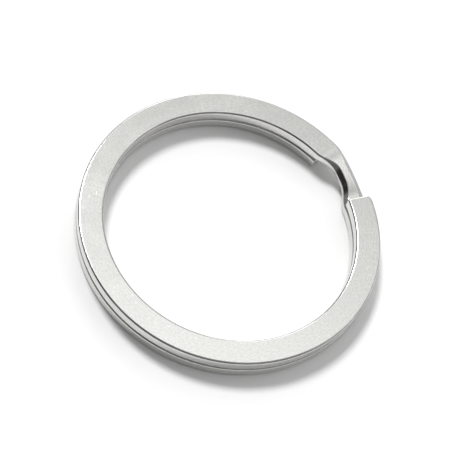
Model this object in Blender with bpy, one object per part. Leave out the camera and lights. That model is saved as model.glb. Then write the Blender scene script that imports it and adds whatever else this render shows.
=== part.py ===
"""Split key ring: two flat coils wound from one flat spring wire, joined by a crossover.

The wire leaves the lower coil's end, runs once round the lower coil, climbs at the crossover,
and runs once round the upper coil. Seen from above it climbs as it turns anticlockwise.
A real ring is one piece that opens by bending and twisting. Here the wire is divided along its
length into short sections, and the sections that leave the other coil when a key is put on hang
on hinges, so that each coil can open as the spring wire does.
Turning the part half a turn about the crossover's own radius brings it back onto itself.

Metres, degrees, +Z up. The origin is the ring's centre, on the plane that it lies on.
"""

import math

import bmesh
import bpy
from mathutils import Matrix, Vector

# The wire and the ring
OUTER_DIAMETER = 0.030
WIRE_WIDTH = 0.0025
WIRE_THICKNESS = 0.0012
COIL_GAP = 0.0001
EDGE_RADIUS = 0.00020

# The crossover. Lengths run along the middle of the wire, from the crossover's middle
CROSSOVER_DIRECTION = 53.0
RISE_HALF_LENGTH = 0.0028
END_SETBACK = 0.0031
CROSSOVER_HALF_LENGTH = 0.0030

# The press marks that narrow the wire at the crossover
INNER_FACET_WIDTH = 0.00037
OUTER_FACET_WIDTH = 0.00040
FACET_DEPTH = 0.00029
INNER_PINCH = 0.00072
PINCH_HALF_LENGTH = 0.0034
FACET_CENTRE = 0.0009
FACET_HALF_LENGTH = 0.0037
LEAST_FACET = 0.00003

# The rounding of each cut end's outer corner, seen from above
CORNER_LENGTH = 0.0006
CORNER_DEPTH = 0.0003

# How the wire is divided
SECTIONS_PER_COIL = 8
FIXED_SECTIONS = 3
SECTION_GAP = 0.00008
ARC_STEP = 5.0
CROSSOVER_STEP = 2.0
CORNER_STEPS = 4

# Spring steel, in pascals, which sets how much the wire twists for each degree that it bends
YOUNG_MODULUS = 200e9
SHEAR_MODULUS = 77e9

MEAN_RADIUS = (OUTER_DIAMETER - WIRE_WIDTH) / 2
COIL_PITCH = WIRE_THICKNESS + COIL_GAP


def degrees_along(length):
    """The turn, in degrees, that a length along the middle of the wire makes."""
    return math.degrees(length / MEAN_RADIUS)


END_ANGLE = 360.0 - degrees_along(END_SETBACK)
CROSSOVER_END = degrees_along(CROSSOVER_HALF_LENGTH)
SECTION_ANGLE = (END_ANGLE - CROSSOVER_END) / SECTIONS_PER_COIL
HALF_GAP_ANGLE = degrees_along(SECTION_GAP) / 2


def clear_scene():
    for thing in list(bpy.data.objects):
        bpy.data.objects.remove(thing, do_unlink=True)


def radial(turn):
    """The unit vector from the ring's centre towards the wire at this turn from the crossover."""
    angle = math.radians(CROSSOVER_DIRECTION + turn)
    return Vector((math.cos(angle), math.sin(angle), 0.0))


def smooth_step(value):
    value = min(max(value, 0.0), 1.0)
    return value * value * (3.0 - 2.0 * value)


def wire_height(turn):
    """The height of the wire's middle: low before the crossover, high after it."""
    rise = degrees_along(RISE_HALF_LENGTH)
    return WIRE_THICKNESS / 2 + COIL_PITCH * smooth_step((turn + rise) / (2 * rise))


def press_mark(turn):
    """How strongly the press has marked the wire's upper side here, from 0 to 1."""
    away = (turn + degrees_along(FACET_CENTRE)) / degrees_along(FACET_HALF_LENGTH)
    return smooth_step(1.5 * (1.0 - abs(away)))


def pinch(turn):
    """How far the wire's inner side is pressed in here."""
    away = abs(turn) / degrees_along(PINCH_HALF_LENGTH)
    return INNER_PINCH * smooth_step(1.25 * (1.0 - away))


def rounded_off(turn):
    """How far the wire's outer side is rounded off here, close to a cut end."""
    to_end = math.radians(END_ANGLE - abs(turn)) * MEAN_RADIUS
    return CORNER_DEPTH * max(1.0 - to_end / CORNER_LENGTH, 0.0) ** 2


def corner(facet_width, facet_depth):
    """Points round one long edge of the wire, as (in from its side, in from its face).

    They run from the face to the side: a rounded rim, a flat facet, and another rounded rim.
    """
    slope = math.atan2(facet_depth, facet_width)
    width = EDGE_RADIUS + facet_width
    depth = EDGE_RADIUS + facet_depth
    face_rim = (width - EDGE_RADIUS * math.sin(slope), EDGE_RADIUS * (1 - math.cos(slope)))
    side_rim = (EDGE_RADIUS * (1 - math.sin(slope)), depth - EDGE_RADIUS * math.cos(slope))
    return [(width, 0.0), face_rim, side_rim, (0.0, depth)]


def facet(mark, width):
    """The facet's width and depth at a press mark of this strength."""
    least = LEAST_FACET * (1 - mark)
    return least + width * mark, least + FACET_DEPTH * mark


def wire_profile(turn):
    """The wire's outline at this turn, as (radius, height) pairs running clockwise."""
    above, below = press_mark(turn), press_mark(-turn)
    middle = wire_height(turn)
    top, bottom = middle + WIRE_THICKNESS / 2, middle - WIRE_THICKNESS / 2
    outside = OUTER_DIAMETER / 2 - rounded_off(turn)
    inside = OUTER_DIAMETER / 2 - WIRE_WIDTH + pinch(turn)
    outline = []
    for x, z in corner(*facet(above, OUTER_FACET_WIDTH)):
        outline.append((outside - x, top - z))
    for x, z in reversed(corner(*facet(below, OUTER_FACET_WIDTH))):
        outline.append((outside - x, bottom + z))
    for x, z in corner(*facet(below, INNER_FACET_WIDTH)):
        outline.append((inside + x, bottom + z))
    for x, z in reversed(corner(*facet(above, INNER_FACET_WIDTH))):
        outline.append((inside + x, top - z))
    return outline


def nickel_plate(name):
    """Bright nickel plate over spring steel."""
    material = bpy.data.materials.new(name)
    material.use_nodes = True
    shader = material.node_tree.nodes["Principled BSDF"]
    shader.inputs["Base Color"].default_value = (0.72, 0.72, 0.70, 1.0)
    shader.inputs["Metallic"].default_value = 1.0
    shader.inputs["Roughness"].default_value = 0.26
    return material


def even_turns(start, end, step):
    """Turns from start to end, spaced evenly and no further apart than a step."""
    count = max(2, math.ceil((end - start) / step))
    return [start + (end - start) * i / count for i in range(count + 1)]


def wire_section(name, turns, origin):
    """One solid length of the wire through these turns, with its object's origin on a given point."""
    mesh = bmesh.new()
    rings = []
    for turn in turns:
        out = radial(turn)
        points = [out * radius + Vector((0.0, 0.0, height)) for radius, height in wire_profile(turn)]
        rings.append([mesh.verts.new(point - origin) for point in points])
    for ring, following in zip(rings, rings[1:]):
        for i, vertex in enumerate(ring):
            mesh.faces.new((ring[i - 1], vertex, following[i], following[i - 1]))
    mesh.faces.new(reversed(rings[0]))
    mesh.faces.new(rings[-1])
    bmesh.ops.recalc_face_normals(mesh, faces=mesh.faces)
    data = bpy.data.meshes.new(name)
    mesh.to_mesh(data)
    mesh.free()
    data.shade_smooth()
    data.set_sharp_from_angle(angle=math.radians(30))
    data.materials.append(nickel_plate(name + "_nickel"))
    section = bpy.data.objects.new(name, data)
    bpy.context.collection.objects.link(section)
    section.location = origin
    return section


def wire_flexibility():
    """How far a metre of the wire bends over its flat and twists, for each newton metre."""
    slimness = WIRE_THICKNESS / WIRE_WIDTH
    bending = WIRE_WIDTH * WIRE_THICKNESS**3 / 12
    twisting = WIRE_WIDTH * WIRE_THICKNESS**3 * (1 / 3 - 0.21 * slimness * (1 - slimness**4 / 12))
    return 1 / (YOUNG_MODULUS * bending), 1 / (SHEAR_MODULUS * twisting)


def opening_turn(turn, end):
    """The rotation at this turn when the upper coil's end is pried up with a newton.

    It is a twist about the wire and a bend over its flat. Where the pull would bend the wire
    down, the coil below stops it, so that only the twist is left.
    """
    bend, twist = wire_flexibility()
    moment = (radial(end) - radial(turn)).cross(Vector((0, 0, 1))) * MEAN_RADIUS
    along = Vector((0, 0, 1)).cross(radial(turn))
    bending = moment.dot(radial(turn)) if end - turn < 180 else 0.0
    return radial(turn) * bending * bend + along * moment.dot(along) * twist


def turned_over(vector):
    """A direction after half a turn about the crossover's radius, which swaps the coils."""
    return Matrix.Rotation(math.pi, 3, radial(0)) @ vector


def coil(side):
    """One coil's sections: side 1 is the upper coil, side -1 the lower one."""
    coil_name = "upper" if side > 0 else "lower"
    carrier = None
    for i in range(SECTIONS_PER_COIL):
        near = CROSSOVER_END + i * SECTION_ANGLE
        far = near + SECTION_ANGLE
        last = i == SECTIONS_PER_COIL - 1
        name = f"{coil_name}_end" if last else f"{coil_name}_coil_{i + 1}"
        if last:
            corner_start = far - degrees_along(CORNER_LENGTH)
            turns = even_turns(near + HALF_GAP_ANGLE, corner_start, ARC_STEP)
            turns += even_turns(corner_start, far, (far - corner_start) / CORNER_STEPS)[1:]
        else:
            turns = even_turns(near + HALF_GAP_ANGLE, far - HALF_GAP_ANGLE, ARC_STEP)
        turns = sorted(side * turn for turn in turns)
        if i < FIXED_SECTIONS:
            wire_section(name, turns, Vector((0, 0, 0)))
            continue
        place = radial(side * near) * MEAN_RADIUS
        place.z = wire_height(side * near)
        section = wire_section(name, turns, place)
        axis = opening_turn(near, END_ANGLE)
        if side < 0:
            axis = turned_over(axis)
        carrier = hinge(f"{coil_name}_hinge_{i - FIXED_SECTIONS + 1}", place, axis, carrier)
        hang(section, carrier)


def hinge(name, place, axis, carrier):
    """An empty on a hinge's axis, with its X along the axis, carried by the hinge before it."""
    empty = bpy.data.objects.new(name, None)
    empty.empty_display_size = WIRE_WIDTH
    bpy.context.collection.objects.link(empty)
    turn = axis.to_track_quat("X", "Z").to_matrix().to_4x4()
    empty.matrix_world = Matrix.Translation(place) @ turn
    if carrier:
        hang(empty, carrier)
    return empty


def hang(thing, carrier):
    """Parents a thing to a carrier and leaves it where it stands."""
    bpy.context.view_layer.update()
    thing.parent = carrier
    thing.matrix_parent_inverse = carrier.matrix_world.inverted()


clear_scene()
crossover_reach = CROSSOVER_END - HALF_GAP_ANGLE
crossover_turns = even_turns(-crossover_reach, crossover_reach, CROSSOVER_STEP)
wire_section("crossover", crossover_turns, Vector((0, 0, 0)))
coil(1)
coil(-1)
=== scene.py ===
import math

import bpy
from mathutils import Matrix, Vector


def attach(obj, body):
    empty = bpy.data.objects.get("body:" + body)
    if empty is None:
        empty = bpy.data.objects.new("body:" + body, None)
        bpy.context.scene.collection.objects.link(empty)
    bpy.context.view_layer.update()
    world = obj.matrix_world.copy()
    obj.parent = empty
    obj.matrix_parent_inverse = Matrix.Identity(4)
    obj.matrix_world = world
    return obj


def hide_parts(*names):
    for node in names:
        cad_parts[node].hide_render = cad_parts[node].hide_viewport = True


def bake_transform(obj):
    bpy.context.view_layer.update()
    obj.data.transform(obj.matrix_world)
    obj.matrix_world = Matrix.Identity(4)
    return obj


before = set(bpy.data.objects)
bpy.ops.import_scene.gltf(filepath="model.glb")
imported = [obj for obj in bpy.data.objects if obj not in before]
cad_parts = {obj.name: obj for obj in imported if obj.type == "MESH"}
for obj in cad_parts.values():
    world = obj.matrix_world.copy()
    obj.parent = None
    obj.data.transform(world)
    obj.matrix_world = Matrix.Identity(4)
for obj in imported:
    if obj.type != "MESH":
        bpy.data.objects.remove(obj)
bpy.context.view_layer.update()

# ---------------------------------------------------------------- the crossover and the first turns
# A split ring is one length of flat-rolled spring steel, wound twice round a mandrel and plated
# with bright nickel. The crossover carries it from the lower coil to the upper one. The turns next
# to it lie on each other even when a key is on its way round, so this length never opens.

# The wire and its winding. Turns are in degrees from the crossover's middle, anticlockwise from
# above, and the wire climbs as they grow.
OUTSIDE = 0.030
WIRE_WIDTH = 0.0025
WIRE_THICKNESS = 0.0012
COIL_GAP = 0.0001
EDGE_RADIUS = 0.00020
MIDDLE_RADIUS = (OUTSIDE - WIRE_WIDTH) / 2
CROSSOVER_DIRECTION = 53.0

# A press sets the crossover. It squeezes the wire's inner side and flattens its long edges.
RISE_HALF_LENGTH = 0.0028
PINCH_HALF_LENGTH = 0.0034
PINCH_FADE = 1.25
INNER_PINCH = 0.00072
FACET_HALF_LENGTH = 0.0037
FACET_FADE = 1.5
FACET_CENTRE = 0.0009
INNER_FACET_WIDTH = 0.00037
OUTER_FACET_WIDTH = 0.00040
FACET_DEPTH = 0.00029
LEAST_FACET = 0.00003

# Each end is cut a little short of the crossover, and tumbling rounds its outer corner.
END_SETBACK = 0.0031
CORNER_LENGTH = 0.0006
CORNER_DEPTH = 0.0003

# How finely the wire is drawn: round its outline in steps, and along it in degrees.
RIM_STEPS = 4
WALL_STEPS = 4
COIL_STEP = 1.0
FINE_STEP = 0.3
LEAST_STEP = 0.2
FINE_OFFSET = 0.01
SLOPE_SPAN = 0.1
MILLIMETRES_IN_A_METRE = 1000

# The ends of the length that never opens, as turns on each side of the crossover's middle.
FIXED_TURN = 117.05


def degrees_along(length):
    """The turn that a length along the middle of the wire makes."""
    return math.degrees(length / MIDDLE_RADIUS)


END_TURN = 360 - degrees_along(END_SETBACK)


def smooth_step(value):
    """An even rise from 0 to 1, level at both ends."""
    value = min(max(value, 0.0), 1.0)
    return value * value * (3.0 - 2.0 * value)


def radial(turn):
    """The direction from the ring's centre to the wire at this turn."""
    angle = math.radians(CROSSOVER_DIRECTION + turn)
    return Vector((math.cos(angle), math.sin(angle), 0.0))


def wire_height(turn):
    """The height of the wire's middle: low before the crossover, high after it."""
    rise = degrees_along(RISE_HALF_LENGTH)
    climbed = smooth_step((turn + rise) / (2 * rise))
    return WIRE_THICKNESS / 2 + (WIRE_THICKNESS + COIL_GAP) * climbed


def press_mark(turn):
    """How strongly the press has marked the wire's upper side here, from 0 to 1."""
    away = (turn + degrees_along(FACET_CENTRE)) / degrees_along(FACET_HALF_LENGTH)
    return smooth_step(FACET_FADE * (1.0 - abs(away)))


def pinch(turn):
    """How far the wire's inner side is pressed in here."""
    away = abs(turn) / degrees_along(PINCH_HALF_LENGTH)
    return INNER_PINCH * smooth_step(PINCH_FADE * (1.0 - away))


def rounded_off(turn):
    """How far the wire's outer side is rounded off here, close to a cut end."""
    to_end = math.radians(END_TURN - abs(turn)) * MIDDLE_RADIUS
    return CORNER_DEPTH * max(1.0 - to_end / CORNER_LENGTH, 0.0) ** 2


def long_edge(mark, facet_width, inset):
    """One long edge, from the wire's face to its side: a rim, a facet and a second rim.

    Each entry is (in from the side, in from the face, the normal's slant, share of rim).
    """
    least = LEAST_FACET * (1 - mark)
    across, down = least + facet_width * mark, least + FACET_DEPTH * mark
    slant = math.atan2(down, across)
    radius = EDGE_RADIUS - inset
    entries = []
    for step in range(RIM_STEPS + 1):
        a = slant * step / RIM_STEPS
        x = EDGE_RADIUS + across - radius * math.sin(a)
        z = EDGE_RADIUS - radius * math.cos(a)
        entries.append((x, z, a, step / RIM_STEPS))
    for step in range(RIM_STEPS + 1):
        a = slant + (math.pi / 2 - slant) * step / RIM_STEPS
        x = EDGE_RADIUS - radius * math.sin(a)
        z = EDGE_RADIUS + down - radius * math.cos(a)
        entries.append((x, z, a, 1 - step / RIM_STEPS))
    return entries


def wire_outline(turn, inset=0.0):
    """The outline at this turn, from the underside up the inside, over the top and down outside.

    Each entry is (radius, height, the normal's radial and upward parts, share of rim).
    """
    above, below = press_mark(turn), press_mark(-turn)
    middle = wire_height(turn)
    top, bottom = middle + WIRE_THICKNESS / 2, middle - WIRE_THICKNESS / 2
    outside = OUTSIDE / 2 - rounded_off(turn)
    inside = OUTSIDE / 2 - WIRE_WIDTH + pinch(turn)
    inner_low = [
        (inside + x, bottom + z, -math.sin(a), -math.cos(a), rim)
        for x, z, a, rim in long_edge(below, INNER_FACET_WIDTH, inset)
    ]
    inner_high = [
        (inside + x, top - z, -math.sin(a), math.cos(a), rim)
        for x, z, a, rim in reversed(long_edge(above, INNER_FACET_WIDTH, inset))
    ]
    outer_high = [
        (outside - x, top - z, math.sin(a), math.cos(a), rim)
        for x, z, a, rim in long_edge(above, OUTER_FACET_WIDTH, inset)
    ]
    outer_low = [
        (outside - x, bottom + z, math.sin(a), -math.cos(a), rim)
        for x, z, a, rim in reversed(long_edge(below, OUTER_FACET_WIDTH, inset))
    ]
    inside_wall, outside_wall = wall(inner_low, inner_high), wall(outer_high, outer_low)
    return inner_low + inside_wall + inner_high + outer_high + outside_wall + outer_low


def wall(before, after):
    """Extra points up one side of the wire, between two of its long edges."""
    start, end = before[-1], after[0]
    return [
        tuple(a + (b - a) * step / WALL_STEPS for a, b in zip(start, end))
        for step in range(1, WALL_STEPS)
    ]


def outline_ring(turn, inset=0.0, lean=0.0):
    """The outline in space: its points, its surface normals, distance round and shares of rim.

    The normals follow the wire where it climbs or narrows, and lean forward round a cut end.
    """
    out = radial(turn)
    along = Vector((-out.y, out.x, 0.0))
    outline = wire_outline(turn, inset)
    ahead = wire_outline(turn + SLOPE_SPAN / 2, inset)
    behind = wire_outline(turn - SLOPE_SPAN / 2, inset)
    sweep = math.radians(SLOPE_SPAN)
    points, normals, around, rims = [], [], [], []
    travelled = 0.0
    for i, (radius, height, normal_out, normal_up, rim) in enumerate(outline):
        point = out * radius + Vector((0.0, 0.0, height))
        if points:
            travelled += (point - points[-1]).length
        slope_out = (ahead[i][0] - behind[i][0]) / sweep
        slope_up = (ahead[i][1] - behind[i][1]) / sweep
        run = along * radius + out * slope_out + Vector((0.0, 0.0, slope_up))
        across = out * normal_up - Vector((0.0, 0.0, normal_out))
        normal = across.cross(run).normalized()
        normals.append((normal * math.cos(lean) + along * math.sin(lean)).normalized())
        points.append(point)
        around.append(travelled)
        rims.append(rim)
    around.append(travelled + (points[-1] - points[0]).length)
    return {
        "points": points,
        "normals": normals,
        "around": around,
        "rims": rims,
        "turn": turn,
        "press": press_mark(turn),
        "along": along,
    }


def wire_turns(start, end):
    """Turns from start to end, close together at the crossover and at the corner of a cut end."""
    reach = degrees_along(FACET_HALF_LENGTH + FACET_CENTRE)
    turns = [start]
    while turns[-1] < end:
        turn = turns[-1]
        near_corner = rounded_off(turn) > 0 or rounded_off(turn + COIL_STEP) > 0
        near_crossover = abs(turn + FINE_OFFSET) < reach
        step = FINE_STEP if near_corner or near_crossover else COIL_STEP
        turns.append(min(turn + step, end))
    if len(turns) > 2 and turns[-1] - turns[-2] < LEAST_STEP:
        turns.pop(-2)
    return turns


def distance_along(ring):
    """How far along the middle of the wire this ring is from the crossover's middle."""
    return math.radians(ring["turn"]) * MIDDLE_RADIUS


def wire_length(name, rings):
    """A length of wire through these rings, closed at both ends.

    Its surface is laid out in millimetres, along the wire and round it, for the marks in the metal.
    """
    count = len(rings[0]["points"])
    half = count // 2
    points = [p for ring in rings for p in ring["points"]]
    faces, face_normals, face_places = [], [], []
    for i in range(len(rings) - 1):
        for j in range(count):
            k = (j + 1) % count
            corners = [(i, j, j), (i, k, j + 1), (i + 1, k, j + 1), (i + 1, j, j)]
            faces.append([a * count + b for a, b, c in corners])
            face_normals.append([rings[a]["normals"][b] for a, b, c in corners])
            face_places.append([(distance_along(rings[a]), rings[a]["around"][c]) for a, b, c in corners])
    for i, side in ((0, -1), (len(rings) - 1, 1)):
        ring = rings[i]
        for j in range(half - 1):
            order = [j, j + 1, count - 2 - j, count - 1 - j]
            if side < 0:
                order.reverse()
            a, b, c = (ring["points"][k] for k in order[:3])
            flat = (b - a).cross(ring["points"][order[3]] - a).normalized()
            faces.append([i * count + k for k in order])
            face_normals.append([flat] * 4)
            corners = [ring["points"][k] for k in order]
            face_places.append([(distance_along(ring) + p.z, p.xy.length) for p in corners])
    mesh = bpy.data.meshes.new(name)
    mesh.from_pydata(points, [], faces)
    places = mesh.uv_layers.new(name="along_the_wire")
    distances = [v for face in face_places for place in face for v in place]
    places.data.foreach_set("uv", [v * MILLIMETRES_IN_A_METRE for v in distances])
    rim = mesh.attributes.new("rim", "FLOAT", "POINT")
    rim.data.foreach_set("value", [v for ring in rings for v in ring["rims"]])
    press = mesh.attributes.new("press_mark", "FLOAT", "POINT")
    press.data.foreach_set("value", [ring["press"] for ring in rings for _ in ring["points"]])
    mesh.shade_smooth()
    mesh.normals_split_custom_set([n for face in face_normals for n in face])
    mesh.materials.append(nickel_plate)
    piece = bpy.data.objects.new(name, mesh)
    bpy.context.collection.objects.link(piece)
    return piece


# Bright nickel over rolled steel, with a satin face. Rolling leaves faint lines along the wire, the
# winding tool leaves chatter marks across it, and the barrel leaves fine scratches. The rims are
# painted darker, as painted shade along the wire's edges. The helpers work on the tree called tree.
nickel_plate = bpy.data.materials.new("nickel_plate")
nickel_plate.use_nodes = True
tree = nickel_plate.node_tree
shader = tree.nodes["Principled BSDF"]
shader.inputs["Metallic"].default_value = 1.0


def node(kind, **values):
    """A new node, with each value put on the input of that name, or else on the node itself."""
    made = tree.nodes.new(kind)
    for name, value in values.items():
        if name in made.inputs:
            made.inputs[name].default_value = value
        else:
            setattr(made, name, value)
    return made


def link(source, target):
    tree.links.new(source, target)


GRAIN_ROUGHNESS = 0.6


def grain(scale, detail, along, across, turned=0.0):
    """Noise laid out along the wire in millimetres, stretched by its scale each way."""
    place = node("ShaderNodeMapping")
    place.inputs["Scale"].default_value = (along, across, 1.0)
    place.inputs["Rotation"].default_value = (0.0, 0.0, turned)
    link(wire_place.outputs["UV"], place.inputs["Vector"])
    noise = node("ShaderNodeTexNoise", Scale=scale, Detail=detail, Roughness=GRAIN_ROUGHNESS)
    link(place.outputs["Vector"], noise.inputs["Vector"])
    return noise.outputs["Fac"]


def levels(source, low, high, new_low=0.0, new_high=1.0):
    """A value brought from one range to another, eased at both ends and held there."""
    ranged = node("ShaderNodeMapRange")
    ranged.interpolation_type = "SMOOTHSTEP"
    for name, value in (("From Min", low), ("From Max", high), ("To Min", new_low), ("To Max", new_high)):
        ranged.inputs[name].default_value = value
    link(source, ranged.inputs["Value"])
    return ranged.outputs["Result"]


def calculate(operation, first, second):
    """Two values, each a number or another node's output, put through one operation."""
    sums = node("ShaderNodeMath", operation=operation)
    for socket, value in zip(sums.inputs, (first, second)):
        if isinstance(value, float):
            socket.default_value = value
        else:
            link(value, socket)
    return sums.outputs["Value"]


def mixed(share, first, second):
    """The first colour, turned into the second one by this share."""
    mix = node("ShaderNodeMix", data_type="RGBA")
    for socket, value in (("A_Color", first), ("B_Color", second)):
        target = next(i for i in mix.inputs if i.identifier == socket)
        if isinstance(value, tuple):
            target.default_value = value
        else:
            link(value, target)
    link(share, next(i for i in mix.inputs if i.identifier == "Factor_Float"))
    return next(o for o in mix.outputs if o.identifier == "Result_Color")


# The marks in the metal, as noise that is stretched along the wire or across it.
wire_place = node("ShaderNodeUVMap")
wire_place.uv_map = "along_the_wire"
rim_share = node("ShaderNodeAttribute", attribute_name="rim").outputs["Fac"]
press_share = node("ShaderNodeAttribute", attribute_name="press_mark").outputs["Fac"]

rolling_lines = grain(1.0, 3.0, 0.25, 14.0)
bloom = grain(1.0, 3.0, 0.5, 0.9)
pits = grain(1.0, 4.0, 9.0, 9.0)
satin = grain(1.0, 5.0, 3.2, 6.0)
chatter = grain(1.0, 2.0, 5.0, 0.35)
chatter_patches = levels(grain(1.0, 1.0, 0.11, 0.05), 0.44, 0.62)
scratches = calculate(
    "MAXIMUM",
    levels(grain(1.0, 2.0, 1.1, 26.0, 0.5), 0.69, 0.78),
    levels(grain(1.0, 2.0, 1.3, 30.0, -0.8), 0.70, 0.79),
)

# The colour: two shades of nickel, rubbed where it is speckled or pressed, with painted shade on the
# rims.
NICKEL = (0.80, 0.80, 0.775, 1.0)
NICKEL_SHADED = (0.73, 0.73, 0.705, 1.0)
STEEL_RUBBED = (0.60, 0.59, 0.575, 1.0)
# A dark colour that is painted on the rims as shade, for the dark line along the wire's edges.
RIM_SHADE_COLOUR = (0.38, 0.365, 0.375, 1.0)
SPECKLE_STRENGTH = 0.3
RIM_SHARPNESS = 1.2
plate_colour = mixed(levels(satin, 0.38, 0.62), NICKEL, NICKEL_SHADED)
speckles = calculate("MULTIPLY", levels(pits, 0.5, 0.72), SPECKLE_STRENGTH)
speckled = mixed(speckles, plate_colour, STEEL_RUBBED)
rubbed = calculate("MULTIPLY", press_share, levels(pits, 0.35, 0.7))
pressed_colour = mixed(rubbed, speckled, STEEL_RUBBED)
# Painted shade on the rims: the dark colour is laid over them, more strongly where the bloom noise is
# high.
rim_crest = calculate("POWER", rim_share, RIM_SHARPNESS)
painted_rim_shade = calculate("MULTIPLY", rim_crest, levels(bloom, 0.2, 0.6, 0.45, 0.95))
link(mixed(painted_rim_shade, pressed_colour, RIM_SHADE_COLOUR), shader.inputs["Base Color"])

# The roughness: chatter marks and scratches raise it, and the burnished rims are smoother.
CHATTER_ROUGHNESS = 0.03
SCRATCH_ROUGHNESS = 0.12
RIM_POLISH = 0.02
flat_roughness = levels(bloom, 0.3, 0.7, 0.19, 0.21)
brushed = calculate("MULTIPLY", levels(chatter, 0.35, 0.65), chatter_patches)
with_brushing = calculate("ADD", flat_roughness, calculate("MULTIPLY", brushed, CHATTER_ROUGHNESS))
with_scratches = calculate("ADD", with_brushing, calculate("MULTIPLY", scratches, SCRATCH_ROUGHNESS))
polish = calculate("MULTIPLY", rim_share, RIM_POLISH)
link(calculate("SUBTRACT", with_scratches, polish), shader.inputs["Roughness"])

# The relief: how far each mark stands up, or cuts in, as a share of the relief's height.
ROLLING_SHARE = 0.35
PIT_SHARE = 0.25
CHATTER_SHARE = 0.7
SCRATCH_SHARE = 0.4
SATIN_SHARE = 0.9
RELIEF_STRENGTH = 0.35
RELIEF_HEIGHT = 0.00001
rolled = calculate("MULTIPLY", rolling_lines, ROLLING_SHARE)
relief = calculate("ADD", rolled, calculate("MULTIPLY", pits, PIT_SHARE))
patched_chatter = calculate("MULTIPLY", chatter, chatter_patches)
relief = calculate("ADD", relief, calculate("MULTIPLY", patched_chatter, CHATTER_SHARE))
relief = calculate("SUBTRACT", relief, calculate("MULTIPLY", scratches, SCRATCH_SHARE))
relief = calculate("ADD", relief, calculate("MULTIPLY", satin, SATIN_SHARE))
bump = node("ShaderNodeBump", Strength=RELIEF_STRENGTH, Distance=RELIEF_HEIGHT)
link(relief, bump.inputs["Height"])
link(bump.outputs["Normal"], shader.inputs["Normal"])

crossover_rings = [outline_ring(turn) for turn in wire_turns(-FIXED_TURN, FIXED_TURN)]
crossover = wire_length("crossover_wire", crossover_rings)
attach(crossover, "crossover_and_fixed_coils")
fixed_nodes = [f"{coil}_coil_{i}" for coil in ("upper", "lower") for i in (1, 2, 3)]
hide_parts("crossover", *fixed_nodes)

# ---------------------------------------------------------------- the free half turns
# The last part of each coil springs away from the other one when a key is put on. It is the same
# spring steel, bent and twisted. Each length here is drawn in place for one section of the frame,
# and the frame's own part for that section is hidden.

# The frame divides each coil into equal sections, counted from the crossover. The first never open.
CROSSOVER_HALF_LENGTH = 0.0030
CROSSOVER_END = degrees_along(CROSSOVER_HALF_LENGTH)
SECTIONS = 8
FIXED_SECTIONS = 3
FREE_SECTIONS = SECTIONS - FIXED_SECTIONS
SECTION = (END_TURN - CROSSOVER_END) / SECTIONS

# A cut end is sheared square. The blade leaves the upper part of the cut smooth and tears the rest
# back a little, most of all at the bottom. Tumbling then rounds the end's edges.
CUT_ROUNDING = 0.00017
CUT_STEPS = 5
TORN_BACK = 0.00007
TEAR_TOP = 0.62
TEAR_EDGE = 0.2
LEAST_TEAR = 0.5


def cut_end_rings(turn, side):
    """The rings that round off a cut end: side is 1 on the upper coil, -1 on the lower one."""
    rings = []
    for step in range(CUT_STEPS + 1):
        a = math.pi / 2 * step / CUT_STEPS
        back = CUT_ROUNDING * (1 - math.sin(a))
        inset = CUT_ROUNDING * (1 - math.cos(a))
        ring = outline_ring(turn - side * degrees_along(back), inset, side * a)
        low = min(p.z for p in ring["points"])
        high = max(p.z for p in ring["points"])
        for p in ring["points"]:
            share = (p.z - low) / (high - low)
            depth = LEAST_TEAR + (1 - LEAST_TEAR) * (1 - share)
            torn = smooth_step((TEAR_TOP - share) / TEAR_EDGE) * depth
            p -= ring["along"] * side * TORN_BACK * torn * (step / CUT_STEPS)
        rings.append(ring)
    return rings if side > 0 else rings[::-1]


def tip_rings(near, side):
    """The rings from this turn to the wire's end, in the order of the winding."""
    whole_end = END_TURN - degrees_along(CUT_ROUNDING)
    start, end = sorted((side * near, side * whole_end))
    rings = [outline_ring(turn) for turn in wire_turns(start, end)]
    if side > 0:
        return rings[:-1] + cut_end_rings(END_TURN, side)
    return cut_end_rings(-END_TURN, side) + rings[1:]


def section_middle(turn, side):
    """The middle of the wire at this turn of the upper coil, or of the lower one."""
    point = radial(side * turn) * MIDDLE_RADIUS
    point.z = wire_height(side * turn)
    return tuple(point)


for coil, side in (("upper", 1), ("lower", -1)):
    bodies = ["crossover_and_fixed_coils"] + [f"{coil}_coil_{i}" for i in (4, 5, 6, 7)] + [f"{coil}_end"]
    for i in range(FREE_SECTIONS):
        near = CROSSOVER_END + (FIXED_SECTIONS - 0.5 + i) * SECTION
        far = near + SECTION
        if i == FREE_SECTIONS - 1:
            name = f"{coil}_tip_wire"
            rings = tip_rings(near, side)
        else:
            name = f"{coil}_bend_{i + 1}_wire"
            rings = [outline_ring(turn) for turn in wire_turns(*sorted((side * near, side * far)))]
        piece = wire_length(name, rings)
        from_middle, to_middle = section_middle(near, side), section_middle(far, side)
        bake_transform(piece)
        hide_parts(bodies[i + 1])

# ---------------------------------------------------------------- the sheet it lies on
# The ring lies flat on a wide sheet of plain white paper. The sheet is a hair below the ring, so
# that the two faces do not fight for the same place.
SHEET_REACH = 30.0
SHEET_HEIGHT = -2e-5
WHITE_PAPER = (0.93, 0.93, 0.93, 1.0)
sheet_corners = [
    (x * SHEET_REACH, y * SHEET_REACH, SHEET_HEIGHT) for x, y in ((-1, -1), (1, -1), (1, 1), (-1, 1))
]
floor_mesh = bpy.data.meshes.new("paper_floor")
floor_mesh.from_pydata(sheet_corners, [], [(0, 1, 2, 3)])
floor = bpy.data.objects.new("paper_floor", floor_mesh)
bpy.context.collection.objects.link(floor)
paper = bpy.data.materials.new("white_paper")
paper.use_nodes = True
paper_shader = paper.node_tree.nodes["Principled BSDF"]
paper_shader.inputs["Base Color"].default_value = WHITE_PAPER
paper_shader.inputs["Roughness"].default_value = 1.0
paper_shader.inputs["Specular IOR Level"].default_value = 0.0
floor_mesh.materials.append(paper)

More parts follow.
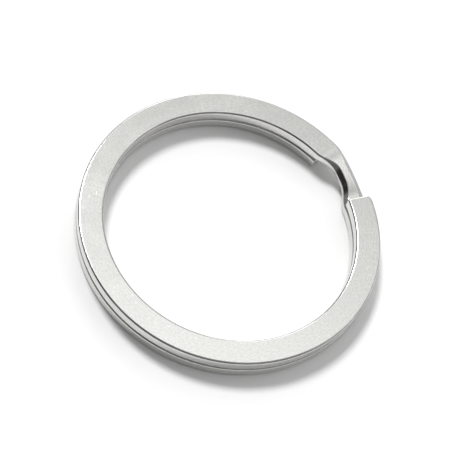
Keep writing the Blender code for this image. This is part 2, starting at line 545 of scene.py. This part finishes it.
# ---------------------------------------------------------------- the light
# A white tent stands over the ring. It is brightest high up behind the ring and darker towards the
# camera, which darkens the wire's near side. Three soft boxes cast the shadows on the sheet.
# Azimuths run anticlockwise from +X, and elevations up from the sheet, in degrees.
TENT_BRIGHTNESS = 0.46
world = bpy.data.worlds.new("white_tent")
bpy.context.scene.world = world
world.use_nodes = True
tree = world.node_tree
tree.nodes.clear()
background = tree.nodes.new("ShaderNodeBackground")
world_out = tree.nodes.new("ShaderNodeOutputWorld")
link(background.outputs["Background"], world_out.inputs["Surface"])
direction = tree.nodes.new("ShaderNodeTexCoord").outputs["Generated"]


def sky(azimuth, elevation):
    """The direction towards a place on the tent."""
    a, e = math.radians(azimuth), math.radians(elevation)
    return (math.cos(a) * math.cos(e), math.sin(a) * math.cos(e), math.sin(e))


def patch(towards, inner, outer, radiance):
    """A soft round patch on the tent: full inside one angle from its middle, and gone outside another."""
    dot = node("ShaderNodeVectorMath", operation="DOT_PRODUCT")
    link(direction, dot.inputs[0])
    dot.inputs[1].default_value = Vector(towards).normalized()
    gone, full = math.cos(math.radians(outer)), math.cos(math.radians(inner))
    return calculate("MULTIPLY", levels(dot.outputs["Value"], gone, full), radiance)


light = calculate("ADD", patch(sky(100, 56), 14.0, 60.0, 0.26), TENT_BRIGHTNESS)
light = calculate("ADD", light, patch(sky(82, 68), 3.0, 14.0, 0.85))
shade = calculate("MAXIMUM", patch(sky(-150, 38), 8.0, 25.0, 0.42), patch(sky(-112, 44), 7.0, 21.0, 0.42))
shade = calculate("MAXIMUM", shade, patch(sky(-85, 22), 10.0, 42.0, 0.17))
light = calculate("SUBTRACT", light, shade)
link(light, background.inputs["Strength"])

STAND_DISTANCE = 0.5


def softbox(name, azimuth, elevation, spread, strength):
    """A soft box that lights the whole sheet evenly. Its spread is the angle it fills, in degrees."""
    lamp = bpy.data.lights.new(name, "SUN")
    lamp.angle = math.radians(spread)
    lamp.energy = strength
    stand = bpy.data.objects.new(name, lamp)
    stand.location = Vector(sky(azimuth, elevation)) * STAND_DISTANCE
    stand.rotation_euler = stand.location.to_track_quat("Z", "Y").to_euler()
    bpy.context.collection.objects.link(stand)


softbox("main_softbox", 138, 55, 16, 2.25)
softbox("right_softbox", 30, 36, 50, 0.4)
softbox("back_softbox", 108, 30, 24, 0.4)

# ---------------------------------------------------------------- the camera
# The camera looks down on the ring from the -Y side with a long lens, aimed at the ring's
# middle, halfway up the stack. It leans to one side, as a ring that rests on others seems to.
CAMERA_DISTANCE = 0.1779
CAMERA_ELEVATION = 58.47
CAMERA_LEAN = 24.0
CAMERA_LENS = 143.7
CAMERA_NEAREST = 0.005
aim = Vector((0.0, 0.0, WIRE_THICKNESS + COIL_GAP / 2))
towards_camera = Vector(sky(-90, CAMERA_ELEVATION))
level_up = (Vector((0, 0, 1)) - towards_camera * towards_camera.z).normalized()
level_right = level_up.cross(towards_camera)
lean = math.radians(CAMERA_LEAN)
right = level_right * math.cos(lean) + level_up * math.sin(lean)
up = level_up * math.cos(lean) - level_right * math.sin(lean)
camera_data = bpy.data.cameras.new("camera")
camera_data.lens = CAMERA_LENS
camera_data.clip_start = CAMERA_NEAREST
camera = bpy.data.objects.new("camera", camera_data)
turned = Matrix((right, up, towards_camera)).transposed().to_4x4()
camera.matrix_world = Matrix.Translation(aim + towards_camera * CAMERA_DISTANCE) @ turned
bpy.context.collection.objects.link(camera)
bpy.context.scene.camera = camera
bpy.context.scene.view_settings.view_transform = "Standard"
